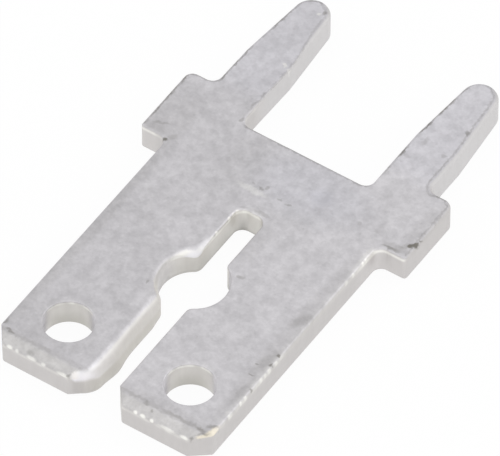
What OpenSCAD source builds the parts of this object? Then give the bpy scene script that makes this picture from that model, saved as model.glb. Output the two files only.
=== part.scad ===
// Split tab terminal for a printed circuit board, stamped from one strip.
// It lies flat: X runs across the blades, Y along them towards the solder pins,
// and Z through the strip. The origin is the middle of its footprint, on the underside.

/* [Strip] */
// Thickness of the strip
strip_t = 0.8; // [0.6:0.05:1.2]

/* [Tab] */
// Width across both blades
tab_w = 6.3; // [5.8:0.1:7]
// Length of the blades from their tips to the shoulders
tab_len = 7.7; // [7.2:0.1:9]
// Length of the slope coined on the upper face of each blade tip
coin_len = 0.38; // [0.2:0.02:0.6]
// Depth of the slope below the upper face at the tip
coin_depth = 0.11; // [0.04:0.01:0.25]
// Width of the chamfer on each blade's left tip corner
left_cut_w = 0.35; // [0.2:0.05:0.7]
// Length of the chamfer on each blade's left tip corner
left_cut_len = 0.45; // [0.2:0.05:0.7]
// Width of the chamfer on each blade's right tip corner
right_cut_w = 0.5; // [0.2:0.05:0.7]
// Length of the chamfer on each blade's right tip corner
right_cut_len = 0.4; // [0.2:0.05:0.7]
// Radius where a chamfer meets a straight edge
cut_r = 0.1; // [0.08:0.01:0.12]

/* [Slot] */
// Gap between the blades from their tips to the widening
mouth_w = 0.75; // [0.5:0.05:0.9]
// Width of the slot behind the widening
slot_w = 0.8; // [0.5:0.05:1]
// Length of the slot from the blade tips to its closed end
slot_len = 6.8; // [6:0.1:7.5]
// Radius in the corners of the closed end
slot_end_r = 0.18; // [0.1:0.02:0.24]
// Radius of the round widening that a receptacle's bump drops into
detent_r = 0.9; // [0.7:0.05:1.1]
// Distance of the widening's middle from the blade tips
detent_pos = 4.25; // [3.6:0.05:4.6]
// Radius where the widening runs into the slot
detent_edge_r = 0.2; // [0.1:0.02:0.3]

/* [Holes] */
// Diameter of the hole in each blade
hole_d = 1.3; // [1:0.05:1.5]
// Distance between the two holes
hole_pitch = 3.6; // [3.3:0.05:3.8]
// Distance of the holes from the blade tips
hole_pos = 1.4; // [1.3:0.05:2]

/* [Shoulders] */
// Width across the shoulders
shoulder_w = 7.9; // [7.5:0.1:9]
// Length of the shoulders along the blades
shoulder_len = 2.2; // [1.6:0.05:3]
// Radius of the shoulders' corners on the pin side
shoulder_back_r = 0.25; // [0.1:0.05:0.3]
// Radius of the shoulders' corners on the blade side
shoulder_front_r = 0.1; // [0.08:0.01:0.15]
// Radius where the shoulders meet the blades
neck_r = 0.25; // [0.1:0.05:0.35]

/* [Pins] */
// Distance between the middles of the two solder pins
pin_pitch = 5.08; // [4.8:0.02:5.2]
// Length of the pins beyond the shoulders
pin_len = 3.75; // [3:0.05:5]
// Width of a pin at its root
pin_w = 1.28; // [1.05:0.01:1.4]
// Length of the pin's parallel part beyond the shoulders
pin_parallel = 1.4; // [1:0.05:1.9]
// Radius of the pin's round tip
pin_tip_r = 0.48; // [0.3:0.02:0.52]
// Radius where the pin starts to taper
pin_taper_r = 0.5; // [0.2:0.05:0.6]
// Radius at the root of the pins
pin_root_r = 0.25; // [0.1:0.05:0.3]
// Depth of the recess between the pins below the shoulders
recess_depth = 0.75; // [0.4:0.05:1.2]

/* [Hidden] */
$fn = 96;

length = tab_len + shoulder_len + pin_len;
tip_y = -length / 2;
front_y = tip_y + tab_len;
back_y = front_y + shoulder_len;
pin_end_y = back_y + pin_len;
recess_y = back_y - recess_depth;
slot_end_y = tip_y + slot_len;
detent_y = tip_y + detent_pos;
hole_y = tip_y + hole_pos;
pin_x = pin_pitch / 2;
margin = 0.05;
long_cut = 20;

function unit(v) = v / norm(v);
function flip(p) = [-p[0], p[1]];

// An arc of the outline: centre, radius, first point, last point, and whether it bulges outwards
function arc(c, r, from, to, bulges) = [c, r, from, to, bulges];

// The arc that rounds the corner at v between the points before and after it
function corner(before, v, after, r, bulges) =
    let (d1 = unit(before - v), d2 = unit(after - v))
    let (half = acos(d1 * d2) / 2, reach = r / tan(half))
    arc(v + unit(d1 + d2) * r / sin(half), r, v + d1 * reach, v + d2 * reach, bulges);

// The same arc on the other side of the middle line, walked the other way
function mirrored(a) = arc(flip(a[0]), a[1], flip(a[3]), flip(a[2]), a[4]);
function other_side(arcs) = [for (i = [len(arcs) - 1 : -1 : 0]) mirrored(arcs[i])];

// The edge where the widening runs into a slot wall at x, above (1) or below (-1) its middle
function detent_edge(x, side) =
    let (cx = x + detent_edge_r, reach = detent_r + detent_edge_r)
    let (c = [cx, detent_y + side * sqrt(reach * reach - cx * cx)])
    let (on_round = [0, detent_y] + unit(c - [0, detent_y]) * detent_r, on_wall = [x, c[1]])
    arc(c, detent_edge_r, side > 0 ? on_wall : on_round, side > 0 ? on_round : on_wall, true);

// The right half of the slot, from its closed end to the blade tips
function slot_arcs() =
    let (top = detent_edge(slot_w / 2, 1), low = detent_edge(mouth_w / 2, -1))
    let (end = [slot_w / 2, slot_end_y])
    [
        corner([0, slot_end_y], end, [end[0], detent_y], slot_end_r, false),
        top,
        arc([0, detent_y], detent_r, top[3], low[2], false),
        low
    ];

// The tip of a blade from its inner edge to its outer edge, with the two chamfers
function tip_arcs(inner_cut, outer_cut) =
    let (xi = mouth_w / 2, xo = tab_w / 2)
    let (p = [
        [xi, front_y],
        [xi, tip_y + inner_cut[1]],
        [xi + inner_cut[0], tip_y],
        [xo - outer_cut[0], tip_y],
        [xo, tip_y + outer_cut[1]],
        [xo, front_y]
    ])
    [for (i = [1 : 4]) corner(p[i - 1], p[i], p[i + 1], cut_r, true)];

// A shoulder from the blade's outer edge to the outer edge of the pin
function shoulder_arcs() =
    let (xb = tab_w / 2, xs = shoulder_w / 2, xp = pin_x + pin_w / 2)
    let (p = [[xb, tip_y], [xb, front_y], [xs, front_y], [xs, back_y], [xp, back_y], [xp, pin_end_y]])
    [
        corner(p[0], p[1], p[2], neck_r, false),
        corner(p[1], p[2], p[3], shoulder_front_r, true),
        corner(p[2], p[3], p[4], shoulder_back_r, true),
        corner(p[3], p[4], p[5], pin_root_r, false)
    ];

// The point where the line from p touches the round tip, on the side where x grows
function touch(p, c, r) =
    let (d = p - c, far = norm(d), a = atan2(d[1], d[0]) + acos(r / far))
    c + r * [cos(a), sin(a)];

// A pin from its outer edge round the tip to the recess between the pins
function pin_arcs() =
    let (half = pin_w / 2, y = back_y + pin_parallel, c = [0, pin_end_y - pin_tip_r])
    let (t = touch([half, y], c, pin_tip_r), ax = [pin_x, 0])
    let (bend = corner([half, back_y], [half, y], t, pin_taper_r, true))
    let (shift = function (a) arc(a[0] + ax, a[1], a[2] + ax, a[3] + ax, a[4]))
    [
        shift(bend),
        arc(c + ax, pin_tip_r, t + ax, flip(t) + ax, true),
        shift(mirrored(bend)),
        corner([pin_x - half, back_y], [pin_x - half, recess_y], [0, recess_y], pin_root_r, false)
    ];

function half_outline(inner_cut, outer_cut) =
    concat(slot_arcs(), tip_arcs(inner_cut, outer_cut), shoulder_arcs(), pin_arcs());

left_cut = [left_cut_w, left_cut_len];
right_cut = [right_cut_w, right_cut_len];
right_side = half_outline(left_cut, right_cut);
left_side = other_side(half_outline(right_cut, left_cut));
outline = concat(right_side, left_side);

// The flat shape that the punch cuts, without the two holes
module blank() {
    difference() {
        union() {
            polygon([for (a = outline) each [a[2], a[3]]]);
            for (a = outline) if (a[4]) translate(a[0]) circle(a[1]);
        }
        for (a = outline) if (!a[4]) translate(a[0]) circle(a[1]);
    }
}

module blade_hole(x) {
    translate([x, hole_y, -margin]) cylinder(d = hole_d, h = strip_t + 2 * margin);
}

// The slope coined on the upper face of the tips
module tip_slope() {
    rotate([90, 0, 90]) translate([0, 0, -long_cut / 2]) linear_extrude(long_cut)
    polygon([
        [tip_y + coin_len, strip_t],
        [tip_y - coin_len, strip_t - 2 * coin_depth],
        [tip_y - coin_len, strip_t + coin_depth],
        [tip_y + coin_len, strip_t + coin_depth]
    ]);
}

module tab_terminal() {
    color([0.77, 0.77, 0.78])
    difference() {
        linear_extrude(strip_t) blank();
        for (side = [-1, 1]) blade_hole(side * hole_pitch / 2);
        tip_slope();
    }
}

tab_terminal();
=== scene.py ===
# Visual model of a split tab terminal: mesh, finish, floor, light and camera.
# Lengths in this script are millimetres unless a name says otherwise. MM turns them into metres.
import math
from types import SimpleNamespace

import bpy
import numpy as np
from mathutils import Matrix, Vector, noise
from mathutils.geometry import delaunay_2d_cdt


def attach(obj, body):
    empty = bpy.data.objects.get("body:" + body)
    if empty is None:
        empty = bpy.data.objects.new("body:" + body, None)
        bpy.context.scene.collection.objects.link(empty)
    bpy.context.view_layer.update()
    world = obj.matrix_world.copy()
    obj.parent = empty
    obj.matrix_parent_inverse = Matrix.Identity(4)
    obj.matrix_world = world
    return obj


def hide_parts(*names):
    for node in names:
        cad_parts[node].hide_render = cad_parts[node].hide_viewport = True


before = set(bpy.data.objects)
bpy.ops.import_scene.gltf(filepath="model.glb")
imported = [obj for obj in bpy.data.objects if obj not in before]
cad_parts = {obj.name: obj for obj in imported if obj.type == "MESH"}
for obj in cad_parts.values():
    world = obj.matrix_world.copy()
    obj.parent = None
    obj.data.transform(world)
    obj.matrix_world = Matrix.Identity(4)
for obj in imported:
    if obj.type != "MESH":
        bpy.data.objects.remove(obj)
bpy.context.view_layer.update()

MM = 0.001

# Camera: where it looks, from which side, how far away, the range it sees in metres, how large a
# millimetre appears, and the picture's width in pixels
CAMERA_AIM = Vector((-0.012, -0.097, 0.346))
CAMERA_AZIMUTH = math.radians(33.657)
CAMERA_ELEVATION = math.radians(49.332)
CAMERA_ROLL = math.radians(0.26)
CAMERA_DISTANCE = 307.3
CAMERA_CLIP_M = (0.01, 10.0)
PIXELS_PER_MM = 40.423
IMAGE_WIDTH = 500
SENSOR_WIDTH = 36.0

# The stamped strip, with the part's own sizes
STRIP_T = 0.8
TAB_W = 6.3
TAB_LEN = 7.7
COIN_LEN = 0.38
COIN_DEPTH = 0.11
LEFT_CUT = (0.35, 0.45)
RIGHT_CUT = (0.5, 0.4)
CUT_R = 0.1
MOUTH_W = 0.75
SLOT_W = 0.8
SLOT_LEN = 6.8
DETENT_R = 0.9
DETENT_POS = 4.25
DETENT_EDGE_R = 0.2
HOLE_D = 1.3
HOLE_PITCH = 3.6
HOLE_POS = 1.4
SHOULDER_W = 7.9
SHOULDER_LEN = 2.2
SHOULDER_BACK_R = 0.25
SHOULDER_FRONT_R = 0.1
NECK_R = 0.25
PIN_PITCH = 5.08
PIN_LEN = 3.75
PIN_W = 1.28
PIN_PARALLEL = 1.4
PIN_TIP_R = 0.48
PIN_TAPER_R = 0.5
PIN_ROOT_R = 0.25
RECESS_DEPTH = 0.75

# Wear of the slot: radii of its left side's corners at the blade tip, where the mouth runs into
# the widening, and where the widening runs into the rest of the slot
WORN_TIP_R = 0.55
WORN_NECK_R = 0.35
WORN_JUNCTION_R = 0.26
# Both corners of the closed end are rounder than in the solid, and the end lies further back
WORN_END_R = 0.26
END_WEAR = 0.04

LENGTH = TAB_LEN + SHOULDER_LEN + PIN_LEN
TIP_Y = -LENGTH / 2
FRONT_Y = TIP_Y + TAB_LEN
BACK_Y = FRONT_Y + SHOULDER_LEN
PIN_END_Y = BACK_Y + PIN_LEN
RECESS_Y = BACK_Y - RECESS_DEPTH
SLOT_END_Y = TIP_Y + SLOT_LEN + END_WEAR
DETENT_Y = TIP_Y + DETENT_POS
HOLE_Y = TIP_Y + HOLE_POS

# Mesh fineness: the longest step along an edge, the largest turn within an arc, the spacing of
# the points on the faces, the rows of points down a wall as parts of its height, and the rings
# of points on a face by their distance from the edge
EDGE_STEP = 0.05
ARC_STEP = math.radians(9)
LATTICE = 0.075
WALL_STEPS = (0.05, 0.1, 0.17, 0.28, 0.42, 0.56, 0.7, 0.84, 0.94)
RINGS = (0.0, 0.003, 0.011, 0.024, 0.042, 0.064, 0.09)
# How many points are compared at a time, how near two points of an edge count as one, and how
# near two points count as one where the faces are filled
CHUNK = 2000
SAME_POINT = 1e-6
FILL_MARGIN = 1e-7

# Unevenness of the faces: height, waves in a millimetre and seed of two patterns, and how far
# their sum is lowered, so that it stays below the solid's face
WAVES = ((0.004, 0.9, 3), (0.0025, 2.4, 4))
WAVE_DEPTH = 0.006
# Small round of the lower edges: how far it reaches into the face and up the wall
LOW_W = 0.045
LOW_DEPTH = 0.045
# Painted highlight line along the top of the walls: its distance below the face and its half width
RIM_AT = 0.095
RIM_FADE = 0.045
# Softness of the bend where the coined slope begins
COIN_SOFT = 0.05
# Marks of the finish: how deep they go into the strip, and where they have faded out and where
# they are full, as parts of their half size
MARK_DEPTH = 0.22
MARK_FADE = (1.5, 0.5)
# Lean of the pins towards +X, as a part of their length
LEFT_PIN_LEAN = 0.0185
RIGHT_PIN_LEAN = 0.0033
# Foot of the left blade's inner wall: how far it stands into the slot in general, and how much
# further round one spot
FOOT_OUT = 0.05
FOOT_BULGE = 0.09
FOOT_BULGE_AT = (-0.4, -5.55)
FOOT_BULGE_SIZE = (0.6, 0.4)
# Distances from the edge that stand for a place on the wall and one well inside the face
ON_WALL = -1.0
IN_FACE = 1.0
# What each seed of the noise adds to the place, in units of the pattern
SEED_SHIFT = (17.3, 9.1, 5.7)


def lerp(a, b, t):
    return a + (b - a) * t


def ramp(x, low, high):
    """0 below low, 1 above high, and a smooth step between."""
    t = np.clip((x - low) / (high - low), 0.0, 1.0)
    return t * t * (3 - 2 * t)


def unit(v):
    return v / np.linalg.norm(v)


def point(x, y):
    return np.array((x, y), float)


def flip(p):
    return point(-p[0], p[1])


class Arc:
    """A round of the outline, walked from start to end with the metal on the left."""

    def __init__(self, centre, r, start, end, bulges):
        self.centre = centre
        self.r = r
        self.start = start
        self.end = end
        self.bulges = bulges

    def mirrored(self):
        return Arc(flip(self.centre), self.r, flip(self.end), flip(self.start), self.bulges)

    def moved(self, by):
        return Arc(self.centre + by, self.r, self.start + by, self.end + by, self.bulges)


def corner(before, v, after, r, bulges):
    """The arc that rounds the corner at v."""
    d1 = unit(before - v)
    d2 = unit(after - v)
    half = math.acos(float(d1 @ d2)) / 2
    reach = r / math.tan(half)
    centre = v + unit(d1 + d2) * r / math.sin(half)
    return Arc(centre, r, v + d1 * reach, v + d2 * reach, bulges)


def detent_edge(x, side, r):
    """The edge where the widening runs into a slot wall at x."""
    middle = point(0, DETENT_Y)
    cx = x + r
    reach = DETENT_R + r
    c = point(cx, DETENT_Y + side * math.sqrt(reach * reach - cx * cx))
    on_round = middle + unit(c - middle) * DETENT_R
    on_wall = point(x, c[1])
    if side > 0:
        return Arc(c, r, on_wall, on_round, True)
    return Arc(c, r, on_round, on_wall, True)


def slot_arcs(end_r, junction_r, neck_r):
    top = detent_edge(SLOT_W / 2, 1, junction_r)
    low = detent_edge(MOUTH_W / 2, -1, neck_r)
    end = point(SLOT_W / 2, SLOT_END_Y)
    closed = corner(point(0, SLOT_END_Y), end, point(end[0], DETENT_Y), end_r, False)
    return [closed, top, Arc(point(0, DETENT_Y), DETENT_R, top.end, low.start, False), low]


def tip_arcs(inner_cut, outer_cut, inner_r):
    xi = MOUTH_W / 2
    xo = TAB_W / 2
    p = [
        point(xi, FRONT_Y),
        point(xi, TIP_Y + inner_cut[1]),
        point(xi + inner_cut[0], TIP_Y),
        point(xo - outer_cut[0], TIP_Y),
        point(xo, TIP_Y + outer_cut[1]),
        point(xo, FRONT_Y),
    ]
    radii = (inner_r, CUT_R, CUT_R, CUT_R)
    return [corner(p[i], p[i + 1], p[i + 2], radii[i], True) for i in range(4)]


def shoulder_arcs():
    xb = TAB_W / 2
    xs = SHOULDER_W / 2
    xp = PIN_PITCH / 2 + PIN_W / 2
    p = [
        point(xb, TIP_Y),
        point(xb, FRONT_Y),
        point(xs, FRONT_Y),
        point(xs, BACK_Y),
        point(xp, BACK_Y),
        point(xp, PIN_END_Y),
    ]
    return [
        corner(p[0], p[1], p[2], NECK_R, False),
        corner(p[1], p[2], p[3], SHOULDER_FRONT_R, True),
        corner(p[2], p[3], p[4], SHOULDER_BACK_R, True),
        corner(p[3], p[4], p[5], PIN_ROOT_R, False),
    ]


def touch(p, c, r):
    """Where the line from p touches the round tip, on the side where x grows."""
    d = p - c
    a = math.atan2(d[1], d[0]) + math.acos(r / np.linalg.norm(d))
    return c + r * point(math.cos(a), math.sin(a))


def pin_arcs():
    half = PIN_W / 2
    y = BACK_Y + PIN_PARALLEL
    axis = point(PIN_PITCH / 2, 0)
    c = point(0, PIN_END_Y - PIN_TIP_R)
    t = touch(point(half, y), c, PIN_TIP_R)
    bend = corner(point(half, BACK_Y), point(half, y), t, PIN_TAPER_R, True)
    inner = PIN_PITCH / 2 - half
    root = [point(inner, BACK_Y), point(inner, RECESS_Y), point(0, RECESS_Y)]
    return [
        bend.moved(axis),
        Arc(c, PIN_TIP_R, t, flip(t), True).moved(axis),
        bend.mirrored().moved(axis),
        corner(*root, PIN_ROOT_R, False),
    ]


def half_outline(slot, inner_cut, outer_cut, inner_r):
    return slot + tip_arcs(inner_cut, outer_cut, inner_r) + shoulder_arcs() + pin_arcs()


def outline_arcs():
    sharp = slot_arcs(WORN_END_R, DETENT_EDGE_R, DETENT_EDGE_R)
    worn = slot_arcs(WORN_END_R, WORN_JUNCTION_R, WORN_NECK_R)
    right = half_outline(sharp, LEFT_CUT, RIGHT_CUT, CUT_R)
    left = [a.mirrored() for a in reversed(half_outline(worn, RIGHT_CUT, LEFT_CUT, WORN_TIP_R))]
    return right + left


def walk(arcs):
    """Points and outward directions along the outline, with the metal on the left."""
    spots = []
    ways = []
    for n, a in enumerate(arcs):
        sign = 1 if a.bulges else -1
        d0 = a.start - a.centre
        d1 = a.end - a.centre
        t0 = math.atan2(d0[1], d0[0])
        turn = (math.atan2(d1[1], d1[0]) - t0 + math.pi) % (2 * math.pi) - math.pi
        if a.bulges and turn < 0:
            turn += 2 * math.pi
        if not a.bulges and turn > 0:
            turn -= 2 * math.pi
        count = max(2, math.ceil(abs(turn) / ARC_STEP), math.ceil(abs(turn) * a.r / EDGE_STEP))
        for i in range(count + 1):
            t = t0 + turn * i / count
            way = point(math.cos(t), math.sin(t))
            spots.append(a.centre + way * a.r)
            ways.append(way * sign)
        after = arcs[(n + 1) % len(arcs)].start
        run = after - a.end
        length = np.linalg.norm(run)
        count = math.ceil(length / EDGE_STEP)
        if length > SAME_POINT:
            out = point(run[1], -run[0]) / length
            for i in range(1, count):
                spots.append(a.end + run * i / count)
                ways.append(out)
    steps = [np.linalg.norm(spots[i] - spots[i - 1]) for i in range(len(spots))]
    keep = [i for i, step in enumerate(steps) if step > SAME_POINT]
    return np.array([spots[i] for i in keep]), np.array([ways[i] for i in keep])


def hole_loop(x):
    """Points and outward directions round the hole at x, with the metal on the left."""
    count = math.ceil(math.pi * HOLE_D / EDGE_STEP)
    t = -2 * np.pi * np.arange(count) / count
    way = np.stack([np.cos(t), np.sin(t)], 1)
    return point(x, HOLE_Y) + way * HOLE_D / 2, -way


def blob(xy, x, y, rx, ry):
    """A smooth bump of height 1 round a spot."""
    return np.exp(-(((xy[:, 0] - x) / rx) ** 2) - ((xy[:, 1] - y) / ry) ** 2)


def on_plane(xy):
    """The points with a height of 0."""
    return np.column_stack([xy, np.zeros(len(xy))])


def noise_at(xyz, scale, seed):
    """Smooth noise between about -1 and 1 at each point."""
    shift = Vector([seed * by for by in SEED_SHIFT])
    return np.array([noise.noise(Vector(p) * scale + shift) for p in xyz])


def inner_left(xy):
    """1 along the left blade's inner edge, from the widening to the tip corner."""
    left = -1.0 + 0.35 * ramp(-xy[:, 1], 5.5, 6.2)
    across = ramp(xy[:, 0] - left, 0.0, 0.1) * ramp(-xy[:, 0], 0.0, 0.1)
    return across * ramp(-xy[:, 1], 2.7, 3.3)


def tip_corner(xy):
    """1 on the worn chamfer of the left blade's inner tip corner."""
    return ramp(xy[:, 0], -0.84, -0.74) * ramp(-xy[:, 0], 0.0, 0.1) * ramp(-xy[:, 1], 6.15, 6.5)


def slot_left(xy):
    """1 along the left side of the slot behind the widening."""
    return ramp(xy[:, 0], -0.6, -0.5) * ramp(-xy[:, 0], 0.1, 0.3) * ramp(xy[:, 1], -1.9, -1.4)


def wedge(xy, near, far, left, right):
    """1 where the left side of the slot runs into the widening, fading out along both."""
    x, y = xy.T
    region = ramp(-x, 0.3, 0.35) * (1 - ramp(-y, 2.1, 2.4))
    return region * ramp(-y, near, far) * (1 - ramp(-x, right, left))


def right_edge_of_pin(xy, way):
    """1 along the side of each pin that faces +X."""
    return ramp(way[:, 0], 0.0, 0.5) * ramp(xy[:, 1], RECESS_Y, BACK_Y + 0.3)


def in_hole(xy):
    """Whether each point lies on the wall of a hole."""
    off = np.abs(xy[:, 0]) - HOLE_PITCH / 2
    return np.hypot(off, xy[:, 1] - HOLE_Y) < HOLE_D / 2 + 0.01


# Painted highlights on the rims of the holes: x, y, half width along X and strength
GLINT_REACH_Y = 0.1
HOLE_GLINTS = (
    (-2.44, -5.30, 0.08, 0.7),
    (-2.35, -5.08, 0.08, 0.9),
    (-2.10, -4.85, 0.06, 1.2),
    (-1.70, -4.78, 0.10, 1.6),
    (-1.48, -4.86, 0.10, 1.1),
    (-1.30, -5.00, 0.08, 0.8),
    (1.16, -5.32, 0.10, 1.0),
    (1.27, -5.06, 0.12, 1.2),
    (1.44, -4.90, 0.10, 1.3),
    (1.78, -4.78, 0.07, 2.0),
    (1.92, -4.79, 0.07, 2.0),
)
# The direction along the floor towards the camera
CAMERA_SIDE = np.array((math.sin(CAMERA_AZIMUTH), -math.cos(CAMERA_AZIMUTH)))


def mix(base, *layers):
    """The base value, replaced in turn by each layer's value where its mask is 1."""
    for mask, value in layers:
        base = base + (value - base) * mask
    return base


def zones(xy, way):
    """The parts of the outline, each a mask from 0 to 1 over its points."""
    x, y = xy.T
    down = -y
    out_x, out_y = way.T
    facing = way @ CAMERA_SIDE
    hole = in_hole(xy)
    pin = right_edge_of_pin(xy, way)
    outer = ramp(out_x, 0.3, 0.8) * ramp(x, 2.9, 3.0)
    outer = outer * ramp(down, -0.8, -0.6) * (1 - ramp(down, 5.9, 6.2))
    cove = ramp(-x, 0.65, 0.85) * ramp(down, 2.0, 2.5)
    cove = cove * ramp(x, -1.0, -0.95) * (1 - ramp(down, 3.4, 3.8))
    neck = ramp(x, 3.05, 3.15) * ramp(y, -0.4, 0.4)
    neck = neck * (1 - ramp(out_x, 0.3, 0.9) * ramp(y, 0.8, 0.95)) * (1 - ramp(y, 0.95, 1.05))
    slot = ramp(-np.abs(x), -1.1, -1.0) * ramp(down, -0.2, -0.1) * ramp(y, TIP_Y, TIP_Y + 0.6)
    return SimpleNamespace(
        # by direction: towards the camera, away from it, and across the view inside a hole
        front=ramp(facing, 0.1, 0.7),
        far=ramp(-facing, 0.0, 0.6),
        beside=hole * (1 - ramp(np.abs(facing), 0.3, 0.8)),
        # the holes, split by how much they face the camera
        hole=hole,
        hole_front=hole * ramp(facing, 0.5, 1.0),
        hole_far=hole * (1 - ramp(facing, 0.3, 0.85)),
        # the slot: all of it, the right wall, and spots at the closed end and the widening
        slot=slot,
        # the slot's right wall lies in shade: it is painted darker, painted shade
        slot_right=slot * ramp(x, 0.45, 0.6),
        side=slot_left(xy),
        closed=blob(xy, -0.24, SLOT_END_Y - 0.04, 0.12, 0.12),
        end=blob(xy, 0.05, SLOT_END_Y, 0.4, 0.2),
        end_corner=blob(xy, -0.395, SLOT_END_Y - 0.285, 0.12, 0.16),
        junction=blob(xy, -0.72, -2.05, 0.22, 0.3),
        cove=cove,
        # the widely drawn-in edge of the left blade
        band=inner_left(xy),
        tip=tip_corner(xy),
        bend=wedge(xy, 1.1, 1.6, 0.93, 0.58),
        bend_depth=wedge(xy, 1.5, 1.8, 0.95, 0.47),
        # the outer edges of the blades and shoulders
        outer=outer,
        corner_facet=ramp(x, 2.78, 2.9) * ramp(down, 6.0, 6.35) * ramp(out_x, 0.2, 0.5),
        far_corner=ramp(-x, 2.7, 2.9) * ramp(down, 6.0, 6.3),
        neck=neck,
        neck_spot=blob(xy, 3.2, 0.66, 0.1, 0.15),
        right_side=ramp(x, 3.85, 3.93) * ramp(y, 0.9, 1.0) * ramp(out_x, 0.5, 0.8),
        left_front=ramp(-x, 3.3, 3.6) * ramp(-out_y, 0.4, 0.8) * ramp(y, 0.7, 0.8),
        left_side=ramp(-x, 3.9, 3.94),
        recess=ramp(y, 2.2, 2.3) * ramp(-np.abs(x), -1.85, -1.75),
        # the pins: all round, the side that faces +X, and that side of the left pin
        pins=ramp(y, BACK_Y - 0.2, BACK_Y + 0.1),
        pin=pin,
        left_pin=pin * (x < 0),
    )


def edge_shape(xy, at):
    """The section of the drawn-in upper edge.

    It reaches w into the face and depth down the wall. It is a quarter of an ellipse where power
    is 2, and nearer to a chamfer where power is less.
    """
    x, y = xy.T
    pin_w = mix(0.13, (at.left_pin * (1 - ramp(y, 4.6, 5.8)), 0.05))
    w = mix(
        0.035 + 0.045 * at.far,
        (at.hole, 0.025),
        (at.cove, 0.11),
        (at.side, 0.06),
        (at.pin, pin_w),
        (at.outer, 0.05),
        (at.right_side, 0.09),
        (at.corner_facet, 0.03 + 0.11 * ramp(x, 2.94, 3.12)),
        (at.band, 0.27 - 0.05 * ramp(-y, 3.7, 4.2)),
        (at.tip, 0.15),
        (at.bend, 0.22),
    )
    depth = mix(
        0.06 + 0.02 * at.far,
        (at.hole, 0.04),
        (at.cove, 0.13),
        (at.pin, 0.8 * pin_w),
        (at.outer, 0.1),
        (at.right_side, 0.12),
        (at.corner_facet, 0.06),
        (at.band, 0.34),
        (at.tip, 0.12 + 0.07 * ramp(x, -0.82, -0.5)),
        (at.bend_depth, 0.22),
    )
    return {
        "w": w * (1 + 0.12 * noise_at(on_plane(xy), 2.2, 1)),
        "depth": depth,
        "power": mix(2.0, (at.tip, 1.3), (at.bend_depth, 1.3), (at.corner_facet, 1.3)),
    }


def edge_lines(xy, at):
    """The thin lines along the edge.

    rim is a painted highlight line on the wall, rim_at below the face and rim_fade wide. line is a
    dark line on the face, line_at inside the edge: painted shade along the far edges, on the right
    side of the shoulder and where the drawn-in edge of a pin begins.
    """
    x, y = xy.T
    down = -y
    flat = on_plane(xy)
    dashes = (0.75 + 1.2 * noise_at(flat, 4.5, 7)).clip(0.1, 1.4)
    beads = (0.6 + 1.6 * noise_at(flat, 7.0, 8)).clip(0.0, 1.5)
    gaps = (0.75 + 1.2 * noise_at(flat, 3.0, 9)).clip(0.2, 1)
    wide = np.clip(at.band + at.tip + at.bend_depth, 0, 1)
    glints = sum(a * blob(xy, gx, gy, r, GLINT_REACH_Y) for gx, gy, r, a in HOLE_GLINTS)
    # painted highlight along the top of the walls
    rim = mix(
        0.35 * dashes,
        (at.pins, 0.0),
        (at.side, 0.6 * dashes),
        (wide, 0.0),
        (at.hole, 0.1 + glints),
        (at.outer, mix(0.28, (ramp(down, 3.2, 3.7), 0.15 + 0.4 * beads))),
        (at.neck, 0.92),
        (at.right_side, 0.0),
        (at.left_front, 0.78),
        (at.corner_facet, 0.1),
        (at.cove, 0.1),
    )
    rim = rim + at.end + at.junction
    rim_at = mix(
        RIM_AT,
        (at.slot, 0.065),
        (at.side, 0.1),
        (at.junction, 0.085),
        (at.end, 0.07),
        (at.hole, 0.06),
        (at.outer, 0.085),
    )
    rim_fade = mix(
        RIM_FADE,
        (at.slot, 0.04),
        (at.side, 0.045),
        (at.junction, 0.05),
        (at.end, 0.048),
        (at.hole, 0.035),
        (at.outer, 0.085),
    )
    # painted shade: a dark line along the edges that face away from the camera
    far_edge_shade = at.left_side + 0.8 * at.far_corner + at.pins + 0.6 * at.recess
    far_edge_shade = (far_edge_shade * at.far).clip(0, 1) * gaps
    left_pin_at = 0.03 + 0.1 * ramp(y, 4.6, 5.9)
    return {
        "rim": at.front * rim.clip(0, 1),
        "rim_at": rim_at,
        "rim_fade": rim_fade,
        "line": mix(0.7 * far_edge_shade, (at.pin, 0.32), (at.left_pin, 0.22), (at.right_side, 0.3)),
        "line_at": mix(0.055, (at.pin, 0.14), (at.left_pin, left_pin_at), (at.right_side, 0.075)),
    }


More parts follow.
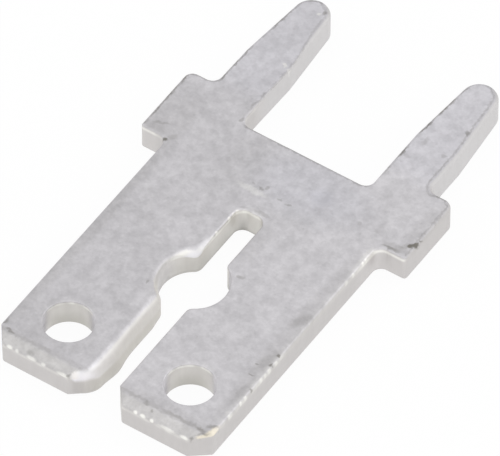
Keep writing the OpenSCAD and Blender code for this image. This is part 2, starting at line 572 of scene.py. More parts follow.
def edge_finish(xy, at):
    """How bright the edge and the wall below it are, with the light and shade painted on them.

    glow is a painted highlight on the drawn-in edge. It is full from the part last of the edge's
    width on, and it fades out over the part lower of the wall's height. soft takes gloss from
    the edge, and a painted warm highlight lies on the worn facets of the corners.
    tone is a factor on the wall's colour, roll_tone one on the drawn-in edge's, and tone_from the
    part of the edge's width where roll_tone begins to give way to tone. Both factors are painted
    light and shade: the walls of some parts are made lighter, and those in shade darker. tint is
    the distance below the face where the wall's colour is reached, and fall how much darker the
    wall is at its foot, painted shade.
    inner marks walls that face each other, which get painted bounce light, and plain those with
    the colour of the faces. shade is painted shade on a hole's wall, darker towards its foot, and
    foot a painted shadow along the lower edge.
    """
    x, y = xy.T
    down = -y
    return {
        # painted highlight on the widely drawn-in edges
        "glow": mix(
            0.0,
            (at.side, 0.15),
            (at.beside, 0.35),
            (at.band, 0.02 + 0.17 * ramp(down, 3.2, 3.9) + 0.25 * ramp(down, 5.2, 6.2)),
            (at.tip, 0.95 - 0.3 * ramp(x, -0.74, -0.5)),
            (at.bend, 0.62 + 0.25 * ramp(down, 1.5, 1.9)),
        ),
        "last": mix(0.8, (at.band, 0.42), (at.tip, 0.4), (at.bend, 0.75)),
        "lower": mix(
            0.02,
            (at.beside, 1.0),
            (at.band, 0.5 - 0.15 * ramp(down, 5.3, 5.8)),
            (at.tip, 0.4),
        ),
        "soft": np.clip(0.6 * at.band + 0.8 * at.tip + 0.5 * at.bend + 0.8 * at.beside, 0, 1),
        # painted warm highlight on the worn facets of the corners
        "cream": at.corner_facet + 0.3 * at.tip * (1 - ramp(x, -0.74, -0.6)),
        # painted light and shade: the walls' brightness by part, lighter where they catch light,
        # darker in shade
        "tone": 0.08 * (1.25 * at.end_corner + at.neck_spot)
        + mix(
            1.0,
            (at.pins, 1.06),
            (at.slot, 1.08),
            (at.band, 1.165 - 0.055 * ramp(down, 5.3, 5.8)),
            (at.side, 1.08),
            (at.cove, 1.09),
            (at.hole, 1.05),
            (at.slot_right, 0.9),
            (at.outer, 0.97),
            (at.right_side, 0.98),
            (at.neck, 1.04),
            (at.left_front, 1.06),
        ),
        "roll_tone": mix(1.0, (at.pin, 0.94), (at.right_side, 0.94)),
        "tone_from": mix(0.7, (at.band, 0.35)),
        "tint": mix(0.06, (at.pin, 0.015)),
        # painted shade: the walls in the slot and at its closed end grow darker towards their foot
        "fall": 0.16 * at.closed
        + mix(
            0.0,
            (at.slot, 0.11),
            (at.band, 0.06),
            (at.side, 0.15 + 0.06 * ramp(y, -1.2, -0.6)),
        ),
        # painted bounce light on walls that face each other
        "inner": mix(0.0, (at.slot, 1.0), (at.hole, 1.0)),
        "plain": np.clip(0.6 * at.cove + at.slot_right + at.hole_far, 0, 1),
        # painted shade in the holes, darker towards the foot of the wall
        "shade": at.hole_front,
        # painted shadow along the lower edge
        "foot": at.front * mix(0.0, (at.slot, 0.35), (at.band, 0.1), (at.closed, 0.6)),
    }


def edge_traits(xy, way):
    """What the punch and wear have made of the upper edge at each point of an outline, with the
    light and shade painted on it.
    """
    at = zones(xy, way)
    return edge_shape(xy, at) | edge_lines(xy, at) | edge_finish(xy, at)


def flare(xy):
    """How far the foot of the left blade's inner wall stands into the slot near the tip."""
    down = -xy[:, 1]
    mouth = ramp(down, 3.5, 4.0) * (1 - ramp(down, 6.2, 6.7))
    bulge = blob(xy, *FOOT_BULGE_AT, *FOOT_BULGE_SIZE)
    return inner_left(xy) * (FOOT_OUT * mouth + FOOT_BULGE * bulge)


def coin_drop(y):
    """How far the coined slope lies below the face."""
    t = (TIP_Y + COIN_LEN - y) / COIN_LEN
    return COIN_DEPTH * (np.sqrt(t * t + COIN_SOFT**2) + t) / 2


def roll_drop(d, w, depth, power=2.0):
    """How far a drawn-in edge lies below its face, a distance d inside the outline."""
    u = 1 - np.clip(d / w, 0, 1)
    return depth * (1 - np.clip(1 - u**power, 0, 1) ** (1 / power))


def wave(xy):
    """The gentle unevenness of a rolled strip."""
    flat = on_plane(xy)
    return sum(height * noise_at(flat, scale, seed) for height, scale, seed in WAVES) - WAVE_DEPTH


class Loop:
    """One closed edge of the strip, with what the punch has made of it and the light and shade
    painted on it.
    """

    def __init__(self, spots, ways):
        self.spots = spots
        self.ways = ways
        self.traits = edge_traits(spots, ways)

    def ring(self, d):
        """The loop's points, moved a distance d into the metal."""
        return self.spots - self.ways * d


def edge_look(d, traits):
    """What the material reads a distance d inside the outline."""
    u = 1 - np.clip(d / traits["w"], 0, 1)
    roll = 1 + (traits["roll_tone"] - 1) * ramp(u, 0.0, 0.3)
    return {
        "glow": traits["glow"] * ramp(u, 0.0, traits["last"]),
        "cream": traits["cream"] * ramp(u, 0.0, 0.3),
        "soft": traits["soft"] * ramp(u, 0.6, 1.0),
        "tone": roll + (traits["tone"] - roll) * ramp(u, traits["tone_from"], 1.0),
        "line": traits["line"],
        "off": d - traits["line_at"],
    }


def top_z(xy, d, traits):
    """Height of the upper face, with its unevenness fading out towards the edge."""
    within = ramp(d, 0.05, 0.4)
    roll = roll_drop(d, traits["w"], traits["depth"], traits["power"])
    return STRIP_T - coin_drop(xy[:, 1]) - roll + wave(xy) * within


def low_z(d):
    return roll_drop(d, LOW_W, LOW_DEPTH)


def nearest(xy, loops):
    """Distance to the nearest point of an edge, with that point's traits."""
    spots = np.concatenate([q.spots for q in loops])
    best = np.empty(len(xy))
    which = np.empty(len(xy), int)
    for start in range(0, len(xy), CHUNK):
        part = slice(start, start + CHUNK)
        d = np.linalg.norm(xy[part][:, None] - spots[None], axis=2)
        which[part] = d.argmin(1)
        best[part] = d.min(1)
    names = loops[0].traits
    return best, {k: np.concatenate([q.traits[k] for q in loops])[which] for k in names}


def inside(xy, rims):
    """Whether each point lies inside the outline's rim and outside the holes' rims."""
    result = np.zeros(len(xy), bool)
    for a in rims:
        b = np.roll(a, -1, axis=0)
        run, rise = (b - a).T
        # no line across crosses a level edge, so any slope will do for it
        slope = run / np.where(rise == 0, 1.0, rise)
        for start in range(0, len(xy), CHUNK):
            part = slice(start, start + CHUNK)
            px, py = xy[part, 0, None], xy[part, 1, None]
            crosses = (a[:, 1] > py) != (b[:, 1] > py)
            x = a[:, 0] + (py - a[:, 1]) * slope
            result[part] ^= (crosses & (px < x)).sum(1) % 2 == 1
    return result


def lattice(spacing, low, high):
    """A triangular grid of points in a box."""
    rows = []
    rise = spacing * math.sqrt(3) / 2
    for n in range(math.floor((high[1] - low[1]) / rise)):
        x = np.arange(low[0] + (n % 2) * spacing / 2, high[0], spacing)
        rows.append(np.column_stack([x, np.full(len(x), low[1] + n * rise)]))
    return np.concatenate(rows)


def wants_detail(xy, d):
    """Where the faces need the finer grid: the coined tips and the widely drawn-in edges."""
    edge = (xy[:, 0] < 0) & (xy[:, 0] > -1.4) & (xy[:, 1] < -1.0) & (d < 0.36)
    return edge | (xy[:, 1] < TIP_Y + COIN_LEN + 0.15)


def face_points(loops):
    """Points on the faces, inside the innermost rings."""
    rims = [q.ring(RINGS[-1]) for q in loops]
    low = (-SHOULDER_W / 2, TIP_Y)
    high = (SHOULDER_W / 2, PIN_END_Y)
    parts = []
    for spacing, fine in ((LATTICE, False), (LATTICE / 2, True)):
        xy = lattice(spacing, low, high)
        xy = xy[inside(xy, rims)]
        d = nearest(xy, loops)[0]
        parts.append(xy[(d > RINGS[-1] + spacing * 0.5) & (wants_detail(xy, d) == fine)])
    return np.concatenate(parts)


def warp(xyz):
    """The small errors of this one sample: leaning pins and a foot that stands into the slot."""
    out = xyz.copy()
    x, y, z = xyz.T
    out[:, 0] += np.where(x < 0, LEFT_PIN_LEAN, RIGHT_PIN_LEAN) * (y - BACK_Y).clip(0)
    foot = ((STRIP_T - z) / STRIP_T).clip(0, 1)
    near = ramp(-np.abs(x + MOUTH_W / 2), -0.9, -0.15)
    out[:, 0] += flare(xyz[:, :2]) * foot * near
    return out


# What the material reads at each point of the mesh
LAYERS = ("wall", "inner", "shade", "foot", "rim", "glow", "cream", "soft", "tone", "line", "off")


class Sheet:
    """Gathers points, their finish and faces before they become one mesh."""

    def __init__(self):
        self.xyz = []
        self.layers = {name: [] for name in LAYERS}
        self.faces = []
        self.count = 0

    def add(self, xy, z, **finish):
        """Adds points, with 0 for each layer that isn't given, and returns their numbers."""
        self.xyz.append(np.column_stack([xy, z]))
        for name in LAYERS:
            self.layers[name].append(np.broadcast_to(finish.get(name, 0.0), len(xy)))
        self.count += len(xy)
        return np.arange(self.count - len(xy), self.count)

    def band(self, upper, lower):
        """Adds a closed band of faces between two rows of points."""
        after = np.roll(upper, -1), np.roll(lower, -1)
        self.faces.extend(zip(upper, lower, after[1], after[0]))


def side_rows(sheet, q):
    """The rolled upper edge, the wall and the small lower round of one loop."""
    rows = []
    t = q.traits
    face = STRIP_T - coin_drop(q.spots[:, 1])

    def row(xy, z, look, wall, shade=0.0, foot=0.0):
        fall = t["fall"] * wall * ramp(STRIP_T - z, 0.1, 0.75)
        look = look | {
            "wall": wall * (1 - t["plain"]),
            "inner": wall * (1 - t["plain"]) * t["inner"],
            "shade": t["shade"] * shade,
            "foot": t["foot"] * foot,
            "rim": t["rim"] * np.exp(-(((face - z - t["rim_at"]) / t["rim_fade"]) ** 2)),
            "tone": look["tone"] * (1 - fall),
        }
        rows.append(sheet.add(xy, z, **look))

    for d in reversed(RINGS):
        z = top_z(q.ring(d), d, t)
        row(q.ring(d), z, edge_look(d, t), ramp(face - z, t["tint"] / 6, t["tint"]))
    high = top_z(q.spots, 0.0, t)
    low = low_z(0.0)
    for k in WALL_STEPS:
        glow = t["glow"] * (1 - ramp(k, 0.0, 0.8 * t["lower"]))
        look = edge_look(ON_WALL, t) | {"glow": glow, "cream": 0.0}
        row(q.spots, lerp(high, low, k), look, 1.0, ramp(k, 0.2, 1.0), ramp(k, 0.84, 1.0))
    for d in RINGS:
        z = np.full(len(q.spots), low_z(d))
        fade = 1 - ramp(d, 0.0, 0.05)
        row(q.ring(d), z, edge_look(IN_FACE, t), fade, fade, fade)
    for a, b in zip(rows, rows[1:]):
        sheet.band(a, b)
    return rows[0], rows[-1]


def flat_triangles(loops, inner):
    """Triangles that fill the faces between the innermost rings."""
    rings = [q.ring(RINGS[-1]) for q in loops]
    spots = np.concatenate(rings + [inner])
    edges = []
    start = 0
    for ring in rings:
        n = len(ring)
        edges += [(start + i, start + (i + 1) % n) for i in range(n)]
        start += n
    result = delaunay_2d_cdt([Vector(p) for p in spots], edges, [], 1, FILL_MARGIN)
    origin = [o[0] for o in result[3]]
    triangles = np.array([[origin[v] for v in t] for t in result[2]])
    corners = spots[triangles]
    triangles = triangles[inside(corners.mean(1), rings)]
    corners = spots[triangles]
    e1 = corners[:, 1] - corners[:, 0]
    e2 = corners[:, 2] - corners[:, 0]
    turned = e1[:, 0] * e2[:, 1] - e1[:, 1] * e2[:, 0] < 0
    triangles[turned] = triangles[turned][:, ::-1]
    return triangles


def new_object(name, data):
    thing = bpy.data.objects.new(name, data)
    bpy.context.scene.collection.objects.link(thing)
    return thing


def build_strip():
    """The whole strip as one closed mesh."""
    loops = [Loop(*walk(outline_arcs()))]
    loops += [Loop(*hole_loop(side * HOLE_PITCH / 2)) for side in (-1, 1)]
    sheet = Sheet()
    rims = [side_rows(sheet, q) for q in loops]
    inner = face_points(loops)
    triangles = flat_triangles(loops, inner)
    d, traits = nearest(inner, loops)
    top = sheet.add(inner, top_z(inner, d, traits), **edge_look(d, traits))
    low = sheet.add(inner, low_z(d), tone=1.0, off=IN_FACE)
    top = np.concatenate([r[0] for r in rims] + [top])
    low = np.concatenate([r[1] for r in rims] + [low])
    sheet.faces.extend(top[triangles])
    sheet.faces.extend(low[triangles[:, ::-1]])

    xyz = warp(np.concatenate(sheet.xyz)) * MM
    mesh = bpy.data.meshes.new("strip")
    mesh.from_pydata(xyz.tolist(), [], [tuple(map(int, f)) for f in sheet.faces])
    mesh.validate()
    for name in LAYERS:
        layer = mesh.attributes.new(name, "FLOAT", "POINT")
        layer.data.foreach_set("value", np.concatenate(sheet.layers[name]).astype(np.float32))
    mesh.polygons.foreach_set("use_smooth", [True] * len(mesh.polygons))
    mesh.update()
    triangles = sum(len(p.vertices) - 2 for p in mesh.polygons)
    print("strip", len(mesh.vertices), "points", triangles, "triangles")
    return new_object("stamped_strip", mesh)


class Nodes:
    """Short ways to add and link shader nodes."""

    def __init__(self, owner):
        owner.use_nodes = True
        self.tree = owner.node_tree
        self.tree.nodes.clear()

    def add(self, kind, inputs=(), **settings):
        node = self.tree.nodes.new(kind)
        for key, value in settings.items():
            setattr(node, key, value)
        pairs = inputs.items() if isinstance(inputs, dict) else enumerate(inputs)
        for key, value in pairs:
            if isinstance(value, bpy.types.NodeSocket):
                self.tree.links.new(value, node.inputs[key])
            else:
                node.inputs[key].default_value = value
        return node

    def math(self, operation, *inputs):
        return self.add("ShaderNodeMath", inputs, operation=operation).outputs[0]

    def product(self, value, *others):
        for other in others:
            value = self.math("MULTIPLY", value, other)
        return value

    def vector(self, operation, *inputs):
        node = self.add("ShaderNodeVectorMath", inputs, operation=operation)
        return node.outputs["Value" if operation in ("DOT_PRODUCT", "LENGTH") else "Vector"]

    def step(self, value, low, high, out_low=0.0, out_high=1.0):
        """A smooth step from out_low to out_high. It stays between them without a clamp."""
        inputs = (value, low, high, out_low, out_high)
        settings = {"interpolation_type": "SMOOTHSTEP", "clamp": False}
        return self.add("ShaderNodeMapRange", inputs, **settings).outputs[0]

    def attribute(self, name):
        return self.add("ShaderNodeAttribute", attribute_name=name).outputs["Fac"]

    def noise(self, place, scale, detail, rough):
        inputs = {"Vector": place, "Scale": scale, "Detail": detail, "Roughness": rough}
        return self.add("ShaderNodeTexNoise", inputs).outputs

    def grain(self, place, *pattern):
        return self.noise(place, *pattern)["Fac"]

    def spread(self, grain, low, high):
        """A factor between low and high that follows a grain."""
        return self.step(grain, 0.3, 0.7, low, high)

    def marks(self, place, marks, z=STRIP_T, reach=MARK_DEPTH):
        """The sum of soft oval marks round a height z."""
        # vector maths alone, because a Mapping node each would fill the room of a shader
        total = 0.0
        for x, y, length, width, angle, strength in marks:
            way = self.vector("SUBTRACT", place, (x, y, z))
            if angle:
                turn = {"Vector": way, "Angle": -math.radians(angle)}
                way = self.add("ShaderNodeVectorRotate", turn, rotation_type="Z_AXIS").outputs[0]
            far = self.vector("LENGTH", self.vector("DIVIDE", way, (length, width, reach)))
            total = self.math("ADD", total, self.step(far, *MARK_FADE, 0.0, strength))
        return self.math("MINIMUM", total, 1.0)

    def between(self, fac, a, b):
        """A number that goes from a to b."""
        return self.add("ShaderNodeMix", {0: fac, 2: a, 3: b}).outputs[0]

    def blend(self, fac, a, b, kind="MIX"):
        """A colour that goes from a to b."""
        settings = {"data_type": "RGBA", "blend_type": kind}
        return self.add("ShaderNodeMix", {0: fac, 6: a, 7: b}, **settings).outputs[2]


# Colours of the plate, of the dirt on it, and of the light and shade painted on it
FACE_COLOUR = (0.572, 0.559, 0.578, 1.0)
WALL_COLOUR = (0.604, 0.584, 0.576, 1.0)
PIN_FACE_COLOUR = (0.588, 0.577, 0.606, 1.0)
PIN_WALL_COLOUR = (0.598, 0.586, 0.586, 1.0)
# bounce light painted on walls that face each other
BOUNCE_LIGHT_COLOUR = (0.665, 0.648, 0.618, 1.0)
# painted highlights: the line along the walls, beads, sparks and bright marks
HIGHLIGHT_COLOUR = (0.92, 0.91, 0.87, 1.0)
# painted highlight on the widely drawn-in edges
GLOW_COLOUR = (0.91, 0.90, 0.93, 1.0)
# dirt of the dark marks, and painted shade in the dark lines along the edges and in the crease
DIRT_AND_SHADE_COLOUR = (0.20, 0.19, 0.17, 1.0)
# painted shade in the holes, and a painted shadow along the lower edges
PAINTED_SHADE_COLOUR = (0.34, 0.33, 0.29, 1.0)
BEVEL_COLOUR = (0.556, 0.543, 0.541, 1.0)
COOL_COLOUR = (0.525, 0.520, 0.560, 1.0)
# painted warm highlight on worn facets
WARM_HIGHLIGHT_COLOUR = (0.84, 0.78, 0.66, 1.0)

# Grains of the plate: patterns in a millimetre, detail and roughness
CLOUD = (1.1, 3.0, 0.55)
MOTTLE = (3.6, 4.0, 0.6)
FINE = (11.0, 3.0, 0.6)
FLECKS = (6.5, 1.0, 0.5)
STREAKS = (9.0, 4.0, 0.6)
RAGGED = (7.0, 2.0, 0.5)
# What the walls' streaks keep of the place's changes, and how far noise shifts a mark's outline
STREAK_SQUASH = (1.0, 1.0, 0.12)
RAGGED_BY = (0.16, 0.16, 0.0)

# Gloss: roughness where the mottling is low and high, that of the soft edges, and the metal's part
ROUGH = (0.52, 0.44)
SOFT_ROUGH = 0.85
METALLIC = 0.8
# Depth of the bump in the finish, and its strength
BUMP_DEPTH = 0.01
BUMP_STRENGTH = 0.5
# Where the faces' bevel colour begins, and how strong the painted shade in the holes and the
# painted shadow along the lower edges are
BEVEL_Y = TIP_Y + COIN_LEN - 0.03
HOLE_SHADE_AMOUNT = 0.45
FOOT_SHADOW_AMOUNT = 0.6

# Dark marks, by part: x, y, half length, half width, direction in degrees and strength
DARK_MARKS = (
    # right shoulder's front corner
    (3.83, 1.33, 0.11, 0.055, 62, 0.95),
    (3.88, 1.43, 0.09, 0.045, 62, 0.9),
    (3.91, 1.60, 0.05, 0.03, 70, 0.6),
    (3.52, 1.06, 0.34, 0.10, 5, 0.22),
    (3.50, 0.97, 0.22, 0.05, 5, 0.2),
    (3.75, 1.9, 0.22, 0.9, 0, 0.1),
    (3.40, 0.96, 0.20, 0.04, 0, 0.25),
    (3.72, 1.22, 0.14, 0.07, 60, 0.25),
    # left shoulder
    (-3.175, 0.80, 0.07, 0.055, 55, 0.85),
    (-3.55, 1.02, 0.34, 0.12, 0, 0.13),
    (-3.55, 1.22, 0.22, 0.04, 20, 0.25),
    (-3.05, 0.98, 0.12, 0.07, 60, 0.2),
    # scratches behind the slot and on the face
    (-0.30, 0.81, 0.08, 0.04, -15, 0.45),
    (-0.17, 0.90, 0.07, 0.05, 60, 0.35),
    (-0.55, 0.84, 0.05, 0.035, 0, 0.25),
    (0.31, 0.75, 0.07, 0.04, 0, 0.35),
    (0.57, 0.73, 0.09, 0.04, 20, 0.4),
    (-0.30, 0.06, 0.12, 0.04, 30, 0.2),
    (0.20, 0.14, 0.22, 0.05, 0, 0.25),
    (0.89, -1.88, 0.10, 0.05, 25, 0.35),
    (-0.92, -3.27, 0.035, 0.07, 0, 0.35),
    (2.36, 1.21, 0.06, 0.05, 0, 0.2),
    (2.86, 1.24, 0.09, 0.05, 0, 0.15),
    (1.91, 3.17, 0.06, 0.04, 40, 0.5),
    # beside the right blade's outer edge
    (3.08, -3.46, 0.05, 0.035, 40, 0.6),
    (3.08, -3.81, 0.05, 0.035, 60, 0.6),
    (2.80, -3.97, 0.05, 0.03, 20, 0.4),
    (2.85, -4.32, 0.06, 0.03, 0, 0.45),
    (3.11, -4.72, 0.04, 0.035, 0, 0.5),
    (2.95, -3.75, 0.45, 0.13, 80, 0.16),
    (2.93, -2.20, 0.30, 0.14, 60, 0.14),
    (2.98, -4.9, 0.4, 0.09, 85, 0.13),
    (3.02, -6.22, 0.14, 0.045, 30, 0.4),
    (2.90, -6.56, 0.16, 0.035, 42, 0.4),
    # blade tips
    (-2.82, -6.44, 0.12, 0.03, -10, 0.5),
    (-2.93, -6.70, 0.05, 0.03, 0, 0.45),
    (-2.05, -6.72, 0.10, 0.07, 0, 0.22),
    (-0.86, -6.78, 0.05, 0.05, 0, 0.5),
    (1.24, -6.50, 0.07, 0.05, 0, 0.3),
    (1.47, -6.62, 0.045, 0.035, 0, 0.45),
    (2.83, -6.47, 0.10, 0.06, -20, 0.35),
    (2.74, -6.76, 0.05, 0.04, 0, 0.5),
    # painted shade along the crease where the coined slope begins
    (2.35, -6.445, 0.5, 0.045, 0, 0.22),
    (0.85, -6.445, 0.4, 0.045, 0, 0.15),
    # broad, faint darker areas
    (-3.50, 1.55, 0.75, 0.6, 90, 0.11),
    (-1.05, 1.55, 0.9, 0.5, 90, 0.07),
    (-1.95, -5.75, 1.0, 0.75, 0, 0.09),
    (0.62, -0.75, 0.22, 0.8, 0, 0.1),
    (1.90, -6.34, 1.3, 0.15, 0, 0.12),
    (-3.03, -2.9, 3.6, 0.2, 90, 0.15),
    (2.95, -2.9, 3.6, 0.24, 90, 0.13),
    # pins
    (2.93, 5.18, 0.07, 0.05, 0, 0.45),
    (2.88, 4.22, 0.06, 0.05, 0, 0.25),
    (2.22, 4.38, 0.16, 0.05, 95, 0.22),
    (2.13, 3.72, 0.10, 0.05, 0, 0.2),
    (-2.19, 6.52, 0.07, 0.05, 60, 0.45),
    (-1.95, 3.42, 0.10, 0.04, 80, 0.3),
    (-1.97, 3.02, 0.10, 0.04, 80, 0.25),
    (-1.95, 2.42, 0.08, 0.04, 70, 0.35),
)

# Bright marks, painted highlights, written the same way
BRIGHT_MARKS = (
    (-0.64, -3.48, 0.2, 0.14, 70, 0.06),
    (-0.45, 0.657, 0.42, 0.09, 0, 0.3),
    (-1.95, -6.66, 1.1, 0.16, 0, 0.06),
    (-2.07, 4.52, 0.07, 0.05, 0, 0.45),
    (-1.90, 4.43, 0.06, 0.05, 0, 0.4),
    (-2.28, 6.42, 0.05, 0.04, 0, 0.5),
)

# Areas with a cool tint, written the same way
COOL_MARKS = (
    (0.75, 1.45, 1.5, 0.9, 0, 0.45),
    (1.10, 1.40, 0.3, 0.25, 0, 0.35),
)

# Painted highlights in beads on the outer edge, the neck and the left side of the slot, written
# the same way
BEAD_Z = 0.745
BEAD_REACH = 0.07
BEADS = (
    (3.15, -5.71, 0.05, 0.05, 90, 0.5),
    (3.15, -5.21, 0.05, 0.05, 90, 0.9),
    (3.15, -5.00, 0.05, 0.05, 90, 0.8),
    (3.15, -4.31, 0.06, 0.05, 90, 0.8),
    (3.15, -4.13, 0.05, 0.05, 90, 0.7),
    (3.15, -3.95, 0.06, 0.05, 90, 0.7),
    (3.15, -3.65, 0.06, 0.05, 90, 0.6),
    (3.15, -3.42, 0.09, 0.05, 90, 0.45),
    (3.15, -0.54, 0.07, 0.05, 90, 0.5),
    (3.15, -0.24, 0.05, 0.05, 90, 0.6),
    (3.15, 0.20, 0.05, 0.05, 90, 0.9),
    (3.15, 0.34, 0.05, 0.05, 90, 0.9),
    (-0.40, -1.19, 0.06, 0.05, 90, 0.5),
    (-0.40, -0.99, 0.05, 0.05, 90, 0.85),
    (-0.40, -0.43, 0.06, 0.05, 90, 0.85),
    (-0.39, -0.25, 0.05, 0.05, 90, 0.6),
    (-0.37, -0.12, 0.05, 0.05, 60, 0.7),
)

# Painted highlights in spots on the upper edge of the tips, written the same way
TIP_EDGE_Z = 0.665
TIP_EDGE_REACH = 0.05
TIP_SPARKS = (
    (-2.60, TIP_Y, 0.08, 0.06, 0, 0.9),
    (-2.38, TIP_Y, 0.05, 0.05, 0, 0.6),
    (-1.95, TIP_Y, 0.14, 0.05, 0, 0.75),
    (-1.60, TIP_Y, 0.06, 0.05, 0, 0.6),
    (-1.02, TIP_Y, 0.16, 0.05, 0, 0.85),
    (1.127, TIP_Y, 0.055, 0.06, 0, 1.0),
    (1.34, TIP_Y, 0.075, 0.06, 0, 1.0),
    (1.605, TIP_Y, 0.055, 0.06, 0, 0.9),
    (2.05, TIP_Y, 0.22, 0.04, 0, 0.6),
    (2.56, TIP_Y, 0.12, 0.05, 0, 0.9),
)


def plate_colour(n, place, upper, y, wall):
    """The plate's colour without its marks, with painted light and shade: bounce light on walls
    that face each other, shade in the holes, a shadow along the lower edges, and highlights on
    the edges and on their worn facets.
    """
    on_pins = n.step(y, 2.8, 3.6)
    bevel = n.product(n.step(y, BEVEL_Y, BEVEL_Y - 0.12), upper)
    colour = n.blend(bevel, FACE_COLOUR, BEVEL_COLOUR)
    colour = n.blend(on_pins, colour, PIN_FACE_COLOUR)
    colour = n.blend(n.marks(place, COOL_MARKS), colour, COOL_COLOUR)
    colour = n.blend(wall, colour, n.blend(on_pins, WALL_COLOUR, PIN_WALL_COLOUR))
    colour = n.blend(n.attribute("inner"), colour, BOUNCE_LIGHT_COLOUR)
    colour = n.blend(n.product(n.attribute("shade"), HOLE_SHADE_AMOUNT), colour, PAINTED_SHADE_COLOUR)
    colour = n.blend(n.product(n.attribute("foot"), FOOT_SHADOW_AMOUNT), colour, PAINTED_SHADE_COLOUR)
    colour = n.blend(n.attribute("glow"), colour, GLOW_COLOUR)
    colour = n.blend(n.attribute("cream"), colour, WARM_HIGHLIGHT_COLOUR)
    return n.blend(n.attribute("rim"), colour, HIGHLIGHT_COLOUR)


def tin_material():
    mat = bpy.data.materials.new("matt_tin_plate")
    n = Nodes(mat)
    object_place = n.add("ShaderNodeTexCoord").outputs["Object"]
    place = n.vector("MULTIPLY", object_place, (1 / MM, 1 / MM, 1 / MM))
    x, y, z = n.add("ShaderNodeSeparateXYZ", (place,)).outputs
    upper = n.step(z, 0.3, 0.5)
    wall = n.attribute("wall")
    cloud = n.grain(place, *CLOUD)
    mottle = n.grain(place, *MOTTLE)
    fine = n.grain(place, *FINE)
    flecks = n.grain(place, *FLECKS)
    streaks = n.grain(n.vector("MULTIPLY", place, STREAK_SQUASH), *STREAKS)

    # brightness: grains on the faces and walls, and a slow rise from the left to the right
    left_pin = n.product(n.step(y, 2.6, 3.6), n.step(x, 1.0, -1.0, 0.0, 0.015))
    face_level = n.product(
        n.spread(cloud, 0.955, 1.045),
        n.spread(mottle, 0.93, 1.07),
        n.spread(fine, 0.965, 1.035),
        n.step(flecks, 0.62, 0.72, 1.0, 0.95),
        n.step(flecks, 0.38, 0.28, 1.0, 1.04),
        n.math("ADD", n.step(x, -2.0, 2.2, 0.985, 1.042), left_pin),
    )
    level = n.between(wall, face_level, n.spread(streaks, 0.985, 1.015))
    # the walls' tone carries painted light and shade
    level = n.product(level, n.attribute("tone"))

    # the marks have ragged outlines: the place is shifted a little by noise
    jitter = n.noise(place, *RAGGED)["Color"]
    shift = n.vector("MULTIPLY", n.vector("SUBTRACT", jitter, (0.5, 0.5, 0.5)), RAGGED_BY)
    ragged = n.vector("ADD", place, shift)
    colour = plate_colour(n, place, upper, y, wall)
    # painted highlights: bright marks, sparks on the tips and beads along the edges
    colour = n.blend(n.marks(ragged, BRIGHT_MARKS), colour, HIGHLIGHT_COLOUR)
    colour = n.blend(n.marks(place, TIP_SPARKS, TIP_EDGE_Z, TIP_EDGE_REACH), colour, HIGHLIGHT_COLOUR)
    colour = n.blend(n.marks(place, BEADS, BEAD_Z, BEAD_REACH), colour, HIGHLIGHT_COLOUR)
    # dark marks: dirt and scratches, and painted shade along the crease of the coined slope
    colour = n.blend(n.marks(ragged, DARK_MARKS), colour, DIRT_AND_SHADE_COLOUR)

    # painted shade: a dark, broken line where the drawn-in edge of a pin begins, and along the
    # far edges
    wander = n.product(n.math("SUBTRACT", n.math("ADD", mottle, fine), 1.0), 0.14)
    off = n.math("ADD", n.attribute("off"), wander)
    line = n.product(n.step(off, -0.05, -0.008), n.step(off, 0.05, 0.008))
    broken = n.product(n.attribute("line"), n.step(fine, 0.35, 0.6, 0.5, 1.2))
    colour = n.blend(n.product(line, broken), colour, DIRT_AND_SHADE_COLOUR)

    # painted shade: a dark line in the crease where the coined slope begins
    ragged_y = n.add("ShaderNodeSeparateXYZ", (ragged,)).outputs["Y"]
    crease_shade = n.product(
        n.step(ragged_y, BEVEL_Y - 0.09, BEVEL_Y - 0.01),
        n.step(ragged_y, BEVEL_Y + 0.12, BEVEL_Y),
        upper,
        n.step(mottle, 0.35, 0.6, 0.12, 0.34),
        n.math("SUBTRACT", 1.0, wall),
    )
    colour = n.blend(crease_shade, colour, DIRT_AND_SHADE_COLOUR)
    gray = n.add("ShaderNodeCombineColor", (level, level, level)).outputs[0]
    colour = n.blend(1.0, colour, gray, "MULTIPLY")

    rough = n.between(n.attribute("soft"), n.spread(mottle, *ROUGH), SOFT_ROUGH)
    height = n.math("ADD", n.product(mottle, 0.6), n.product(fine, 0.4))
    bump = {"Strength": BUMP_STRENGTH, "Distance": BUMP_DEPTH * MM, "Height": height}
    normal = n.add("ShaderNodeBump", bump).outputs[0]
    look = {"Base Color": colour, "Metallic": METALLIC, "Roughness": rough, "Normal": normal}
    shader = n.add("ShaderNodeBsdfPrincipled", look)
    n.add("ShaderNodeOutputMaterial", {"Surface": shader.outputs[0]})
    return mat


# The floor: its size, how far it lies below the strip, its colour, and how much of it shines
# white by itself
FLOOR_SIZE = 900.0
FLOOR_DROP = 0.02
FLOOR_COLOUR = (0.9, 0.9, 0.9, 1)
FLOOR_WHITE = 0.94
WHITE = (1, 1, 1, 1)

# The light: a plain level all round, and fields with soft edges. Each field has a direction from
# the object towards it, the cosines where its edge starts and where it is full, and a strength
WORLD_LEVEL = 1.03
LIGHT_FIELDS = (
    ((0.62, 0.56, 0.55), 0.70, 0.98, 0.3),
    ((-0.25, -0.3, 1.0), 0.80, 0.99, 0.1),
    ((-0.36, 0.93, 0.2), 0.60, 0.98, -0.25),
)


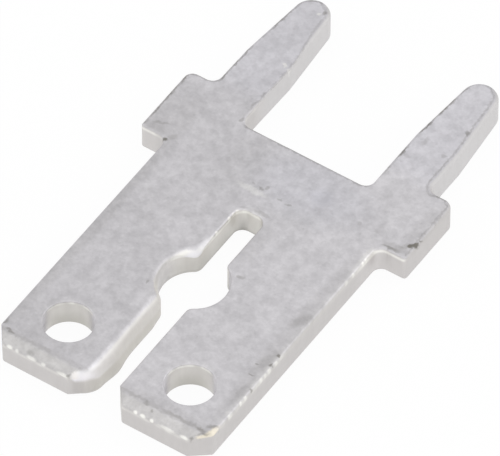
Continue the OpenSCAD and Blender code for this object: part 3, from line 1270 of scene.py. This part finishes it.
def make_floor():
    half = FLOOR_SIZE / 2 * MM
    z = -FLOOR_DROP * MM
    corners = [(-half, -half, z), (half, -half, z), (half, half, z), (-half, half, z)]
    mesh = bpy.data.meshes.new("floor")
    mesh.from_pydata(corners, [], [(0, 1, 2, 3)])
    floor = new_object("floor", mesh)
    mat = bpy.data.materials.new("pale_floor")
    n = Nodes(mat)
    matt = n.add("ShaderNodeBsdfDiffuse", {"Color": FLOOR_COLOUR}).outputs[0]
    white = n.add("ShaderNodeEmission", {"Color": WHITE, "Strength": 1.0}).outputs[0]
    both = n.add("ShaderNodeMixShader", (FLOOR_WHITE, matt, white))
    n.add("ShaderNodeOutputMaterial", {"Surface": both.outputs[0]})
    floor.data.materials.append(mat)


def make_world():
    """The light round the object. The camera itself sees plain white."""
    world = bpy.data.worlds.new("studio")
    bpy.context.scene.world = world
    n = Nodes(world)
    way = n.add("ShaderNodeTexCoord").outputs["Generated"]
    level = WORLD_LEVEL
    for direction, low, high, strength in LIGHT_FIELDS:
        dot = n.vector("DOT_PRODUCT", way, tuple(Vector(direction).normalized()))
        level = n.math("ADD", level, n.step(dot, low, high, 0.0, strength))
    level = n.math("MAXIMUM", level, 0.0)
    seen = n.add("ShaderNodeLightPath").outputs["Is Camera Ray"]
    level = n.between(seen, level, 1.0)
    back = n.add("ShaderNodeBackground", {"Color": WHITE, "Strength": level})
    n.add("ShaderNodeOutputWorld", {"Surface": back.outputs[0]})


def make_camera():
    data = bpy.data.cameras.new("camera")
    camera = new_object("camera", data)
    az, el, roll = CAMERA_AZIMUTH, CAMERA_ELEVATION, CAMERA_ROLL
    back = Vector((math.sin(az) * math.cos(el), -math.cos(az) * math.cos(el), math.sin(el)))
    level = Vector((math.cos(az), math.sin(az), 0))
    rise = back.cross(level)
    right = level * math.cos(roll) + rise * math.sin(roll)
    up = rise * math.cos(roll) - level * math.sin(roll)
    place = (CAMERA_AIM + back * CAMERA_DISTANCE) * MM
    axes = Matrix((right, up, back)).transposed()
    camera.matrix_world = Matrix.Translation(place) @ axes.to_4x4()
    data.sensor_width = SENSOR_WIDTH
    data.lens = PIXELS_PER_MM * CAMERA_DISTANCE * SENSOR_WIDTH / IMAGE_WIDTH
    data.clip_start, data.clip_end = CAMERA_CLIP_M
    bpy.context.scene.camera = camera


make_camera()
make_floor()
make_world()
bpy.context.scene.view_settings.view_transform = "Standard"

strip = build_strip()
strip.data.materials.append(tin_material())
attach(strip, "root")
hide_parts("tab_terminal")
